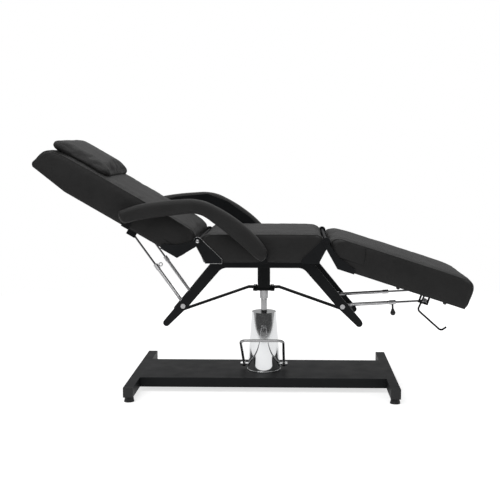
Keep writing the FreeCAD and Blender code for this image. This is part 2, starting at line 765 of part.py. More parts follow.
def stay_tube(bolt, way, length, outward):
    """Locking tube with a side lug on the pivot bolt; the rod runs through it."""
    bolt_point = V(bolt[0], 0, bolt[1])
    centre = bolt_point + outward * stay_y
    tube = pipe(centre - way * stay_tail, way, stay_tube_radius, stay_tube_bore, length + stay_tail)
    lug_inner = stay_y + stay_tube_radius - stay_lug_inset
    lug_outer = frame_inner_y - plate_gap
    lug = rod(bolt_point + outward * lug_inner, outward, stay_lug_radius, lug_outer - lug_inner)
    strip_side = V(way.z, 0, -way.x) * stay_strip_half
    base = bolt_point + outward * lug_inner
    tip = base + way * stay_lug_length
    strip = Part.Face(Part.makePolygon([base + strip_side, tip + strip_side, tip - strip_side,
                                        base - strip_side, base + strip_side]))
    lug = lug.fuse(strip.extrude(outward * (lug_outer - lug_inner)))
    head = pipe(centre + way * (length - sleeve_length), way, sleeve_radius, stay_tube_bore, sleeve_length)
    tube = tube.fuse(lug).fuse(head).removeSplitter()
    tube = tube.cut(rod(base, outward, stay_bolt_radius + pin_play, lug_outer - lug_inner))
    return tube.cut(rod(centre - way * stay_tail, way, stay_tube_bore, length + stay_tail))


def stay_rod(far_end, way, length, outward):
    """Rod that ends in an eye."""
    centre = V(far_end[0], 0, far_end[1]) + outward * stay_y
    eye_start = centre - outward * (stay_eye_width / 2)
    bar = rod(centre, way * -1, stay_rod_radius, length)
    return bar.fuse(rod(eye_start, outward, stay_eye_radius, stay_eye_width)).removeSplitter(), eye_start


def make_stays():
    """The four locking stays under the sections, and their brackets."""
    back_bolt = (-stay_bolt[0], stay_bolt[1])
    back_flat = back_place(back_stay_along, back_stay_up)
    back_eye = turned_place(-hinge_x, back_angle, back_flat)
    back_way = stay_frame(back_bolt, back_eye)[0]
    leg_flat = leg_place(leg_stay_along, leg_stay_up)
    leg_eye = turned_place(hinge_x, leg_angle, leg_flat)
    leg_way = stay_frame(stay_bolt, leg_eye)[0]
    plate_inner = stay_y + stay_eye_width / 2 + stay_eye_play
    plate_outer = plate_inner + plate_thickness
    back_brackets = []
    leg_brackets = []
    for name, outward, sign in (("near", V(0, -1, 0), -1), ("far", V(0, 1, 0), 1)):
        add("back_stay_tube_" + name, stay_tube(back_bolt, back_way, back_tube_length, outward))
        bar, eye_start = stay_rod(back_eye, back_way, back_rod_length, outward)
        eye_hole = rod(eye_start, outward, stay_pin_radius + pin_play, stay_eye_width)
        add("back_stay_rod_" + name, bar.cut(eye_hole))
        add("leg_stay_tube_" + name, stay_tube(stay_bolt, leg_way, leg_tube_length, outward))
        bar, eye_start = stay_rod(leg_eye, leg_way, leg_rod_length, outward)
        pin = rod(eye_start, outward, stay_pin_radius, plate_outer - stay_y + stay_eye_width / 2 + pin_stub)
        add("leg_stay_rod_" + name, bar.fuse(pin).removeSplitter())
        limits = sorted((sign * plate_inner, sign * plate_outer))
        tab_y = sorted((sign * plate_inner, sign * (plate_outer + bracket_foot)))
        board_z = hinge_z + back_bottom
        x, z = back_flat
        wide = (x - bracket_half, x + bracket_half)
        bracket = box(wide, limits, (z - bracket_margin, board_z))
        bracket = bracket.fuse(box(wide, tab_y, (board_z - plate_thickness, board_z)))
        pin_start = V(x, 0, z) + outward * (stay_y - stay_eye_width / 2 - pin_head_play)
        pin_length = plate_inner - stay_y + stay_eye_width / 2 + pin_head_play
        pin = rod(pin_start, outward, stay_pin_radius, pin_length)
        pin = pin.fuse(rod(pin_start, outward, pin_head_radius, pin_head_height))
        back_brackets.append(tilt_back(bracket.fuse(pin).removeSplitter()))
        board_z = hinge_z + leg_bottom
        x, z = leg_flat
        wide = (x - window_back - window_rim, x + window_front + window_rim)
        bracket = box(wide, limits, (z - window_down - window_rim, board_z))
        bracket = bracket.fuse(box(wide, tab_y, (board_z - plate_thickness, board_z)))
        window = box((x - window_back, x + window_front), limits, (z - window_down, z + window_up))
        bracket = bracket.cut(window)
        leg_brackets.append(tilt_leg(bracket.removeSplitter()))
    add("back_stay_brackets", *back_brackets)
    add("leg_stay_brackets", *leg_brackets)
    make_controls(back_bolt, back_way, leg_way)


def bore_stem(name, centre, way, radius):
    """Drill the side of a stay's sleeve for the stem of a control."""
    depth = sleeve_radius - stem_start
    hole = rod(centre + way * stem_start, way, radius + pin_play, depth)
    parts[name] = [solid.cut(hole) for solid in parts[name]]


def make_controls(back_bolt, back_way, leg_way):
    """Ring trigger, clamp knob and bent release lever."""
    near = V(0, -1, 0)
    trigger_at = V(back_bolt[0], 0, back_bolt[1]) + near * stay_y
    trigger_at += back_way * (back_tube_length - sleeve_length / 2)
    inward = V(back_way.z, 0, -back_way.x)
    ring_reach = sleeve_radius + gap + trigger_ring_radius + trigger_wire
    ring = Part.makeTorus(trigger_ring_radius, trigger_wire, trigger_at + inward * ring_reach, ACROSS)
    pin_length = ring_reach - trigger_ring_radius - stem_start
    pull_pin = rod(trigger_at + inward * stem_start, inward, trigger_wire, pin_length)
    add("stay_trigger", ring.fuse(pull_pin).removeSplitter())
    bore_stem("back_stay_tube_near", trigger_at, inward, trigger_wire)
    knob_at = V(stay_bolt[0], 0, stay_bolt[1]) + near * stay_y
    knob_at += leg_way * (leg_tube_length - sleeve_length / 2)
    down = V(leg_way.z, 0, -leg_way.x)
    cone_at = knob_at + down * (sleeve_radius + knob_stem)
    stem = rod(knob_at + down * stem_start, down, knob_stem_radius, sleeve_radius + knob_stem - stem_start)
    ball = Part.makeCone(knob_neck_radius, knob_radius, knob_length / 2, cone_at, down)
    dome = Part.makeSphere(knob_radius, cone_at + down * (knob_length / 2))
    add("stay_knob", stem.fuse(ball).fuse(dome).removeSplitter())
    bore_stem("leg_stay_tube_near", knob_at, down, knob_stem_radius)
    start = leg_board_end - lever_inset
    places = [leg_place(start + along, up) for along, up in lever_points]
    points = [V(x, lever_y, z) for x, z in places]
    wire = bent_bar(points, lever_wire, lever_bend)
    eye = rod(points[0] - ACROSS * lever_wire, ACROSS, lever_ear, 2 * lever_wire)
    wire = wire.fuse(eye)
    wire = wire.cut(rod(points[0] - ACROSS * lever_wire, ACROSS, stay_pin_radius + pin_play, 2 * lever_wire))
    add("release_lever", tilt_leg(wire))
    x, z = points[0].x, points[0].z
    board_z = hinge_z + leg_bottom
    inner = lever_wire + lever_play
    outer = inner + plate_thickness
    bracket = box((x - lever_ear, x + lever_ear), (lever_y - outer, lever_y + outer),
                  (board_z - plate_thickness, board_z))
    for limits in ((lever_y - outer, lever_y - inner), (lever_y + inner, lever_y + outer)):
        bracket = bracket.fuse(box((x - lever_ear, x + lever_ear), limits, (z - lever_ear, board_z)))
    bracket = bracket.fuse(rod(V(x, lever_y - outer, z), ACROSS, stay_pin_radius, 2 * outer)).removeSplitter()
    add("lever_bracket", tilt_leg(bracket))


def write_parts():
    """Move everything so that the pump's axis has its place along X, and write one file per node."""
    os.makedirs("parts", exist_ok=True)
    for name, solids in parts.items():
        group = []
        for solid in solids:
            group += [piece for piece in solid.Solids]
        shape = group[0] if len(group) == 1 else Part.makeCompound(group)
        shape = shape.copy()
        shape.translate(V(column_x, 0, 0))
        shape.exportStep(os.path.join("parts", name + ".step"))
        print(name, len(group), "solids, valid:", shape.isValid())


make_base()
make_pump()
make_pedal()
make_frame()
make_seat()
make_backrest()
make_legrest()
make_armrests()
make_stays()
write_parts()
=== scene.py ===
import json
import math

import bmesh
import bpy
import numpy as np
from mathutils import Matrix, Vector, noise


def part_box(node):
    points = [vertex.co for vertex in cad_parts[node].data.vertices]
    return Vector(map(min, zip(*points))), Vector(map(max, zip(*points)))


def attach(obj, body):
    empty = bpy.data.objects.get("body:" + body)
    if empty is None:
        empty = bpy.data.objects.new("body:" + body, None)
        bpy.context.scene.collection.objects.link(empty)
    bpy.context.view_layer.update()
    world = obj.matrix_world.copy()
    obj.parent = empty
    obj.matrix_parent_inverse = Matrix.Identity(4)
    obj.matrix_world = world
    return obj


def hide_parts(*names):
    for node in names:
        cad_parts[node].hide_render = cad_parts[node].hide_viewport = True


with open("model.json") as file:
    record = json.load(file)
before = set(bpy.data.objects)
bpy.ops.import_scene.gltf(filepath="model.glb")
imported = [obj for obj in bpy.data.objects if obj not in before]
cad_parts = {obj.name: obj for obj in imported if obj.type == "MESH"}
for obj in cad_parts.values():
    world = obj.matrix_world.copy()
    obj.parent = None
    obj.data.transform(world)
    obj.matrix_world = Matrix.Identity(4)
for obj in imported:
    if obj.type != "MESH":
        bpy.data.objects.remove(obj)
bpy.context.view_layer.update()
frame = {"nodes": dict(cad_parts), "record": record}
nodes = frame["nodes"]

MM = 0.001

# Hinge lines and rest angles of the sections in the row frame, metres and degrees
COLUMN_X = 0.0324
HINGE_Z = 0.643
BACK_HINGE_X = -0.2246
LEG_HINGE_X = 0.2894
BACK_ANGLE = 30.0
LEG_ANGLE = 18.0

# Camera that took the photograph, and its picture size in pixels
PICTURE = 500
CAMERA_PLACE = (0.152, -3.6, 1.007)
CAMERA_PITCH = 5.0
CAMERA_TURN = 1.4
FOCAL_PIXELS = 846.0
AXIS_PIXEL = (271.3, 223.8)
SENSOR = 36.0

# Surroundings: plain fill, what reflections see in front and behind, and where these change
WORLD_FILL = 0.5
UNLIT = 0.06
HALF_LIT = 0.35
BEHIND_SPAN = (-0.3, 0.0)
ABOVE_SPAN = (0.3, 0.65)

# Covers: grid step in metres, and the cloth that blows them up
GRID_STEP = 0.009
PUFF_FRAMES = 14
CLOTH_QUALITY = 6
CLOTH_MASS = 0.2
CLOTH_STRETCH = 30.0
CLOTH_SHEAR = 12.0
CLOTH_BENDING = 1.5

SIDES = (("near", -1), ("far", 1))
ACROSS = np.array((0.0, 1.0, 0.0))
SIDE_HINT = (0.3, 0.9, 0.2)
NOISE_SPREAD = (0.3, 0.7)
TINY = 1e-9


def section_frame(origin_x, angle, sign):
    """Matrix from (along, across, up) of a section to the row frame.

    along runs outward from the hinge, and for the seat from the column to the foot end.
    """
    turn = Matrix.Rotation(math.radians(angle), 4, "Y")
    flat = Matrix.Diagonal((sign, 1.0, 1.0, 1.0))
    return Matrix.Translation((origin_x, 0.0, HINGE_Z)) @ turn @ flat


SEAT = section_frame(COLUMN_X, 0.0, 1.0)
BACK = section_frame(BACK_HINGE_X, BACK_ANGLE, -1.0)
LEG = section_frame(LEG_HINGE_X, LEG_ANGLE, 1.0)


# Materials

def new_material(name):
    """Node material with its tree and its shader."""
    material = bpy.data.materials.new(name)
    material.use_nodes = True
    tree = material.node_tree
    return material, tree, tree.nodes["Principled BSDF"]


def add_node(tree, kind, inputs=(), **settings):
    """Node with its settings, and its inputs set or linked."""
    made = tree.nodes.new("ShaderNode" + kind)
    for key, value in settings.items():
        setattr(made, key, value)
    for key, value in dict(inputs).items():
        if isinstance(value, bpy.types.NodeSocket):
            tree.links.new(value, made.inputs[key])
        else:
            made.inputs[key].default_value = value
    return made


def object_coords(tree):
    """Coordinates that stay with the object."""
    return add_node(tree, "TexCoord").outputs["Object"]


def noise_of(tree, coords, scale, detail=3.0):
    """Value of a noise texture."""
    made = add_node(tree, "TexNoise", {"Vector": coords, "Scale": scale, "Detail": detail})
    return made.outputs["Fac"]


def ranged(tree, value, low, high, source=NOISE_SPREAD):
    """Value mapped from its usual spread to a range."""
    made = add_node(tree, "MapRange", {"Value": value, "From Min": source[0],
                                       "From Max": source[1], "To Min": low, "To Max": high})
    return made.outputs["Result"]


def math_of(tree, operation, *values):
    """Result of a Math node."""
    made = add_node(tree, "Math", dict(enumerate(values)), operation=operation)
    return made.outputs["Value"]


def dot_of(tree, first, second):
    """Dot product of two vectors."""
    made = add_node(tree, "VectorMath", {0: first, 1: second}, operation="DOT_PRODUCT")
    return made.outputs["Value"]


def shades(tree, value, dark, light):
    """Colour between two shades, led by a value."""
    made = add_node(tree, "ValToRGB", {"Fac": value})
    for stop, place, colour in zip(made.color_ramp.elements, NOISE_SPREAD, (dark, light)):
        stop.position = place
        stop.color = (*colour, 1.0)
    return made.outputs["Color"]


def bump_of(tree, height, strength, distance, normal=None):
    """Normal with a relief on it."""
    inputs = {"Height": height, "Strength": strength, "Distance": distance}
    if normal is not None:
        inputs["Normal"] = normal
    return add_node(tree, "Bump", inputs).outputs["Normal"]


def tinted(colour, share):
    """Colour or direction scaled by a share."""
    return tuple(part * share for part in colour)


def faux_leather(name, colour):
    """Coated upholstery: a fine pebbled grain, pores, and slow changes of gloss."""
    material, tree, shader = new_material(name)
    coords = object_coords(tree)
    cloud = noise_of(tree, coords, scale=9.0, detail=4.0)
    pebble = add_node(tree, "TexVoronoi", {"Vector": coords, "Scale": 430.0},
                      feature="DISTANCE_TO_EDGE")
    grain = ranged(tree, pebble.outputs["Distance"], low=0.0, high=1.0, source=(0.0, 0.28))
    pores = noise_of(tree, coords, scale=1500.0, detail=2.0)
    folds = noise_of(tree, coords, scale=38.0, detail=3.0)
    tree.links.new(shades(tree, cloud, tinted(colour, 0.82), tinted(colour, 1.2)),
                   shader.inputs["Base Color"])
    tree.links.new(ranged(tree, cloud, low=0.48, high=0.6), shader.inputs["Roughness"])
    shader.inputs["Specular IOR Level"].default_value = 0.27
    shader.inputs["Sheen Weight"].default_value = 0.02
    shader.inputs["Sheen Roughness"].default_value = 0.5
    normal = bump_of(tree, folds, strength=0.25, distance=0.0016)
    normal = bump_of(tree, grain, strength=0.5, distance=0.0005, normal=normal)
    normal = bump_of(tree, pores, strength=0.25, distance=0.0002, normal=normal)
    tree.links.new(normal, shader.inputs["Normal"])
    return material


def powder_coat(name, colour):
    """Black powder coat: orange peel, soft edges, and a thin worn line along them."""
    material, tree, shader = new_material(name)
    coords = object_coords(tree)
    peel = noise_of(tree, coords, scale=620.0, detail=2.0)
    cloud = noise_of(tree, coords, scale=14.0, detail=4.0)
    soft = add_node(tree, "Bevel", {"Radius": 0.0016}, samples=4).outputs["Normal"]
    flat = add_node(tree, "NewGeometry").outputs["True Normal"]
    worn = ranged(tree, dot_of(tree, soft, flat), low=0.55, high=0.0, source=(0.86, 0.985))
    coat = shades(tree, cloud, tinted(colour, 0.88), tinted(colour, 1.14))
    rubbed = add_node(tree, "Mix", {"Factor": worn}, data_type="RGBA")
    tree.links.new(coat, rubbed.inputs["A"])
    rubbed.inputs["B"].default_value = (*tinted(colour, 3.4), 1.0)
    tree.links.new(rubbed.outputs["Result"], shader.inputs["Base Color"])
    tree.links.new(ranged(tree, cloud, low=0.42, high=0.54), shader.inputs["Roughness"])
    shader.inputs["Specular IOR Level"].default_value = 0.16
    normal = bump_of(tree, peel, strength=0.22, distance=0.0003, normal=soft)
    tree.links.new(normal, shader.inputs["Normal"])
    return material


def bare_metal(name, colour, gloss, streaks=0.12, ring_axis=None, ring_pitch=0.0042):
    """Bare metal with slow changes of gloss and fine streaks.

    ring_axis adds turned rings across an axis.
    """
    material, tree, shader = new_material(name)
    coords = object_coords(tree)
    cloud = noise_of(tree, coords, scale=24.0, detail=4.0)
    fine = noise_of(tree, coords, scale=900.0, detail=2.0)
    shader.inputs["Metallic"].default_value = 1.0
    tree.links.new(shades(tree, cloud, tinted(colour, 0.93), colour),
                   shader.inputs["Base Color"])
    tree.links.new(ranged(tree, cloud, *gloss), shader.inputs["Roughness"])
    normal = bump_of(tree, fine, strength=streaks, distance=0.0001)
    if ring_axis is not None:
        along = dot_of(tree, coords, tinted(ring_axis, 2 * math.pi / ring_pitch))
        wave = math_of(tree, "SINE", along)
        normal = bump_of(tree, wave, strength=0.7, distance=0.0006, normal=normal)
    tree.links.new(normal, shader.inputs["Normal"])
    return material


def moulded(name, colour, gloss, grain_scale=700.0):
    """Moulded plastic or rubber with a fine spark-eroded grain."""
    material, tree, shader = new_material(name)
    coords = object_coords(tree)
    cloud = noise_of(tree, coords, scale=30.0, detail=3.0)
    grain = noise_of(tree, coords, scale=grain_scale, detail=2.0)
    tree.links.new(shades(tree, cloud, tinted(colour, 0.85), tinted(colour, 1.15)),
                   shader.inputs["Base Color"])
    tree.links.new(ranged(tree, cloud, *gloss), shader.inputs["Roughness"])
    tree.links.new(bump_of(tree, grain, strength=0.3, distance=0.0003), shader.inputs["Normal"])
    return material


def dust_cloth(name, colour):
    """Black non-woven cloth under the boards: matted fibres."""
    material, tree, shader = new_material(name)
    coords = object_coords(tree)
    fibre = add_node(tree, "TexNoise", {"Vector": coords, "Scale": 340.0, "Detail": 6.0,
                                        "Distortion": 2.5}).outputs["Fac"]
    dots = add_node(tree, "TexVoronoi", {"Vector": coords, "Scale": 520.0}).outputs["Distance"]
    tree.links.new(shades(tree, fibre, tinted(colour, 0.7), tinted(colour, 1.35)),
                   shader.inputs["Base Color"])
    shader.inputs["Roughness"].default_value = 0.9
    shader.inputs["Sheen Weight"].default_value = 0.2
    normal = bump_of(tree, fibre, strength=0.5, distance=0.0005)
    normal = bump_of(tree, dots, strength=0.3, distance=0.0004, normal=normal)
    tree.links.new(normal, shader.inputs["Normal"])
    return material


BLACK_COVER = (0.0185, 0.0182, 0.0182)
LEATHER = faux_leather("upholstery", BLACK_COVER)
# Welts and armrest seams: the upholstery made 25% lighter, a painted highlight along the seam lines
SEAM_HIGHLIGHT = faux_leather("seam_welt_highlight", tinted(BLACK_COVER, 1.25))
THREAD = moulded("thread", (0.03, 0.03, 0.031), gloss=(0.55, 0.7), grain_scale=2400.0)
# Near-black matte for the slit lines: painted shadow in the cuts of the side panels
SLIT_SHADOW = moulded("seam_shadow", (0.003, 0.003, 0.003), gloss=(0.8, 0.9))
COAT = powder_coat("powder_coat", (0.0105, 0.0113, 0.0125))
CHROME = bare_metal("chrome", (0.86, 0.87, 0.88), gloss=(0.035, 0.085), streaks=0.02)
ZINC = bare_metal("zinc_steel", (0.66, 0.66, 0.67), gloss=(0.24, 0.36))
COLLAR = bare_metal("collar_steel", (0.78, 0.78, 0.79), gloss=(0.36, 0.48))
PISTON = bare_metal("piston_steel", (0.4, 0.4, 0.405), gloss=(0.1, 0.18), streaks=0.04)
# Light metal for the bead round the seat hinge plates: a painted highlight on their edges
RIM_HIGHLIGHT = bare_metal("painted_edge_highlight", (0.8, 0.8, 0.8), gloss=(0.3, 0.42))
DARK_ROD = bare_metal("dark_rod", (0.23, 0.23, 0.24), gloss=(0.26, 0.36))
CAST = moulded("cast_pump", (0.07, 0.07, 0.075), gloss=(0.55, 0.7), grain_scale=420.0)
PLASTIC = moulded("black_plastic", (0.017, 0.017, 0.018), gloss=(0.46, 0.58))
CLOTH = dust_cloth("dust_cloth", (0.018, 0.018, 0.019))


def paint(material, *names):
    """Give CAD nodes a material."""
    for name in names:
        mesh = nodes[name].data
        mesh.materials.clear()
        mesh.materials.append(material)


SLOT_MATERIALS = {"powder_coat": COAT, "black_plastic": PLASTIC, "chrome": CHROME,
                  "zinc_steel": ZINC, "cast_pump": CAST, "upholstery": LEATHER, "plywood": CLOTH}
for part in frame["record"]["subparts"]:
    paint(SLOT_MATERIALS[part["material_slot"]], part["node"])
paint(COLLAR, "piston_collar")
paint(PISTON, "piston_rod", "pedal_bail")
paint(COAT, "back_hinge_shaft", "leg_hinge_shaft")
paint(DARK_ROD, "back_stay_rod_near", "back_stay_rod_far",
      "leg_stay_rod_near", "leg_stay_rod_far")
BACK_STAY_WAY = (-0.5817, 0.0, 0.8134)
HATCHED = bare_metal("hatched_tube", (0.7, 0.7, 0.71), gloss=(0.28, 0.4), ring_axis=BACK_STAY_WAY)
paint(HATCHED, "back_stay_tube_near", "back_stay_tube_far")


# Meshes

def new_piece(name, points, faces, material):
    """Smooth mesh object in the row frame."""
    mesh = bpy.data.meshes.new(name)
    mesh.from_pydata([tuple(p) for p in points], [], faces)
    mesh.materials.append(material)
    mesh.shade_smooth()
    made = bpy.data.objects.new(name, mesh)
    bpy.context.scene.collection.objects.link(made)
    return made


def settle(piece, body, slot, *replaced):
    """Ride a piece on its body, and hide the nodes that it stands for. slot is not used."""
    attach(piece, body)
    if replaced:
        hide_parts(*replaced)


def lengths_along(points):
    """Length of a line of points up to each of them."""
    return np.concatenate(([0.0], np.cumsum(np.linalg.norm(np.diff(points, axis=0), axis=1))))


def circle(radius, sides, x=0.0, z=0.0):
    """Points of a level circle."""
    turns = [2 * math.pi * n / sides for n in range(sides)]
    return [(x + radius * math.cos(turn), radius * math.sin(turn), z) for turn in turns]


def to_row(place, local):
    """Points of a section in the row frame."""
    shape = np.array(place)
    return local @ shape[:3, :3].T + shape[:3, 3]


def face_out(piece, place):
    """Turn the faces over where the section's frame is mirrored."""
    if place.to_3x3().determinant() < 0:
        piece.data.flip_normals()


FINE_SAMPLES = 6


def smooth_line(points, count):
    """Even samples of a smooth curve through the points."""
    points = np.array(points, float)
    steps = lengths_along(points)
    slopes = np.gradient(points, steps, axis=0)
    fine = np.linspace(0.0, steps[-1], count * FINE_SAMPLES)
    spans = np.clip(np.searchsorted(steps, fine, side="right") - 1, 0, len(points) - 2)
    width = (steps[spans + 1] - steps[spans])[:, None]
    t = (fine - steps[spans])[:, None] / width
    curve = ((2 * t ** 3 - 3 * t ** 2 + 1) * points[spans]
             + (t ** 3 - 2 * t ** 2 + t) * width * slopes[spans]
             + (3 * t ** 2 - 2 * t ** 3) * points[spans + 1]
             + (t ** 3 - t ** 2) * width * slopes[spans + 1])
    reach = lengths_along(curve)
    even = np.linspace(0.0, reach[-1], count)
    return np.stack([np.interp(even, reach, curve[:, k]) for k in range(points.shape[1])], axis=1)


def block_grid(counts):
    """Points and quads of a box's surface, as whole steps along its three axes."""
    index = {}
    faces = []

    def corner(key):
        return index.setdefault(key, len(index))

    for axis in range(3):
        first, second = [k for k in range(3) if k != axis]
        for level in (0, counts[axis]):
            for i in range(counts[first]):
                for j in range(counts[second]):
                    quad = []
                    for di, dj in ((0, 0), (1, 0), (1, 1), (0, 1)):
                        key = [0, 0, 0]
                        key[axis], key[first], key[second] = level, i + di, j + dj
                        quad.append(corner(tuple(key)))
                    flip = (level == 0) == (axis != 1)
                    faces.append(quad[::-1] if flip else quad)
    return np.array(list(index)), faces


RIPPLE_OFFSET = (7.3, 3.1, 5.7)


def ripple(points, size, height, seed):
    """Slow unevenness of a cover over foam."""
    offset = Vector([seed * part for part in RIPPLE_OFFSET])
    return np.array([noise.noise(Vector(p) / size + offset) for p in points]) * height


def puff(piece, pinned, pressure, shrink, cap, sideways=1.0):
    """Blow the cover up with cloth between its held seams, and keep each point within the cap.

    sideways is the share of the movement across the table that the cover keeps.
    """
    rest = np.array([v.co for v in piece.data.vertices])
    group = piece.vertex_groups.new(name="held")
    group.add([int(k) for k in pinned], 1.0, "REPLACE")
    modifier = piece.modifiers.new("cover", "CLOTH")
    cloth = modifier.settings
    cloth.quality = CLOTH_QUALITY
    cloth.mass = CLOTH_MASS
    cloth.tension_stiffness = CLOTH_STRETCH
    cloth.compression_stiffness = CLOTH_STRETCH
    cloth.shear_stiffness = CLOTH_SHEAR
    cloth.bending_stiffness = CLOTH_BENDING
    cloth.vertex_group_mass = "held"
    cloth.use_pressure = True
    cloth.uniform_pressure_force = pressure
    cloth.shrink_min = shrink
    cloth.effector_weights.gravity = 0.0
    modifier.collision_settings.use_collision = False
    modifier.point_cache.frame_end = PUFF_FRAMES
    scene = bpy.context.scene
    for step in range(1, PUFF_FRAMES + 1):
        scene.frame_set(step)
    shown = piece.evaluated_get(bpy.context.evaluated_depsgraph_get())
    moved = np.array([v.co for v in shown.data.vertices]) - rest
    reach = np.linalg.norm(moved, axis=1, keepdims=True)
    moved *= np.minimum(1.0, cap / np.maximum(reach, TINY))
    moved[:, 1] *= sideways
    piece.modifiers.remove(modifier)
    piece.vertex_groups.clear()
    scene.frame_set(1)
    piece.data.vertices.foreach_set("co", (rest + moved).ravel())
    piece.data.update()


def tighten(piece, edges, weight):
    """Keep seam edges sharp under the subdivision surface."""
    crease = piece.data.attributes.new("crease_edge", "FLOAT", "EDGE")
    wanted = {frozenset(edge) for edge in edges}
    values = [weight if frozenset(e.vertices) in wanted else 0.0 for e in piece.data.edges]
    crease.data.foreach_set("value", values)


def subdivide(piece):
    """Smooth a piece by one level."""
    modifier = piece.modifiers.new("smooth", "SUBSURF")
    modifier.levels = 1
    modifier.render_levels = 1


def tube(name, path, radius, material, sides=8, closed=False):
    """Round bar along a path of points, of one radius or one for each point."""
    path = np.array(path, float)
    count = len(path)
    ahead = np.roll(path, -1, axis=0) - np.roll(path, 1, axis=0)
    if not closed:
        ahead[0] = path[1] - path[0]
        ahead[-1] = path[-1] - path[-2]
    ahead /= np.linalg.norm(ahead, axis=1, keepdims=True)
    side = np.cross(ahead, SIDE_HINT)
    side /= np.linalg.norm(side, axis=1, keepdims=True)
    over = np.cross(ahead, side)
    radius = np.broadcast_to(radius, count)
    points = []
    for p, s, o, r in zip(path, side, over, radius):
        for k in range(sides):
            turn = 2 * math.pi * k / sides
            points.append(p + r * (math.cos(turn) * s + math.sin(turn) * o))
    faces = []
    for i in range(count if closed else count - 1):
        for k in range(sides):
            a, b = i * sides, (i + 1) % count * sides
            faces.append((a + k, a + (k + 1) % sides, b + (k + 1) % sides, b + k))
    if not closed:
        faces.append(tuple(range(sides))[::-1])
        faces.append(tuple((count - 1) * sides + k for k in range(sides)))
    return new_piece(name, points, faces, material)


# Section pads: half widths from the bottom up and crown in millimetres, then shares and metres
PAD_HALF_WIDTHS = (240, 242.5, 243.5, 243.5, 242, 237)
PAD_CROWN = 6.0
CROWN_ACROSS = 3
CROWN_ALONG = 8
CORNER_LOW = 0.35
SIDEWAYS_SHARE = 0.3
RIPPLE_SIZE = 0.07
RIPPLE_HEIGHT = 0.0012
SEAM_CREASE = 0.75
WELT_RADIUS = 0.0018


class Pad:
    """Upholstered section pad: side panels of a given outline, a crowned top, rounded corners.

    start, end, bottom and crease are lines of (along, up) in millimetres that bound the side panel.
    """

    def __init__(self, name, place, start, end, bottom, crease, half_width, crown, corner, seed):
        self.name = name
        self.place = place
        length = abs(crease[-1][0] - crease[0][0]) * MM
        height = (crease[0][1] - bottom[0][1]) * MM
        self.counts = (round(length / GRID_STEP), round(2 * max(half_width) * MM / GRID_STEP),
                       round(height / GRID_STEP))
        na, _, nc = self.counts
        self.lines = [smooth_line(line, n + 1) * MM for line, n in
                      ((start, nc), (end, nc), (bottom, na), (crease, na))]
        self.half_width = np.interp(np.linspace(0, 1, nc + 1),
                                    np.linspace(0, 1, len(half_width)), half_width) * MM
        self.crown = crown * MM
        self.corner = corner * MM
        self.seed = seed

    def panel(self, i, k):
        """Place in the side panel, from its four bounding lines."""
        na, _, nc = self.counts
        start, end, bottom, crease = self.lines
        a, c = (i / na)[:, None], (k / nc)[:, None]
        rows = (1 - c) * bottom[i] + c * crease[i]
        columns = (1 - a) * start[k] + a * end[k]
        corners = ((1 - a) * (1 - c) * bottom[0] + a * (1 - c) * bottom[-1]
                   + (1 - a) * c * crease[0] + a * c * crease[-1])
        return rows + columns - corners

    def build(self, material, pressure, shrink, cap):
        """Make the cover over its grid, blown up between the seams."""
        na, nb, nc = self.counts
        steps, faces = block_grid(self.counts)
        i, j, k = steps.T
        along, up = self.panel(i, k).T
        q = 2 * j / nb - 1
        across = q * self.half_width[k]
        low, high = self.lines[0][k, 0], self.lines[1][k, 0]
        corner = self.corner * (CORNER_LOW + (1 - CORNER_LOW) * k / nc)
        inset_s = np.clip(corner - np.minimum(along - low, high - along), 0, None)
        inset_y = np.clip(corner - (self.half_width[k] - np.abs(across)), 0, None)
        both = np.hypot(inset_s, inset_y)
        share = np.where(both > 0, np.maximum(inset_s, inset_y) / np.maximum(both, TINY), 1.0)
        lead = np.sign(along - (low + high) / 2)
        along = along - lead * inset_s * (1 - share)
        across = across - np.sign(q) * inset_y * (1 - share)
        p = 2 * i / na - 1
        lid = (k == nc)
        rise = (1 - np.abs(q) ** CROWN_ACROSS) * (1 - np.abs(p) ** CROWN_ALONG)
        up = up + lid * self.crown * rise
        points = to_row(self.place, np.stack([along, across, up], axis=1))
        self.points_of = {tuple(s): n for n, s in enumerate(steps.tolist())}
        piece = new_piece(self.name, points, faces, material)
        face_out(piece, self.place)
        self.seams = [self.side_seam(0), self.side_seam(nb)]
        held = set(self.seams[0]) | set(self.seams[1]) | set(np.flatnonzero(k == 0).tolist())
        puff(piece, sorted(held), pressure, shrink, cap, SIDEWAYS_SHARE)
        now = np.array([v.co for v in piece.data.vertices])
        normals = np.array([v.normal for v in piece.data.vertices])
        free = np.ones(len(now))
        free[sorted(held)] = 0.0
        now += normals * (ripple(now, RIPPLE_SIZE, RIPPLE_HEIGHT, self.seed) * free)[:, None]
        piece.data.vertices.foreach_set("co", now.ravel())
        edges = [pair for seam in self.seams for pair in zip(seam, seam[1:])]
        tighten(piece, edges, SEAM_CREASE)
        subdivide(piece)
        self.piece = piece
        return piece

    def side_seam(self, j):
        """Points of the seam round a side panel: up the start, along the top, down the end."""
        na, _, nc = self.counts
        keys = ([(0, j, k) for k in range(nc)] + [(i, j, nc) for i in range(na)]
                + [(na, j, k) for k in range(nc, -1, -1)])
        return [self.points_of[key] for key in keys]

    def seam_lines(self):
        """Places of the points of both seams."""
        points = np.array([v.co for v in self.piece.data.vertices])
        return [points[seam] for seam in self.seams]


STITCH_PITCH = 0.0055
STITCH_LENGTH = 0.0034
STITCH_RADIUS = 0.0004
STITCH_SIDES = 5
STITCH_INSET = 0.0045
STITCH_TAPER = 0.45


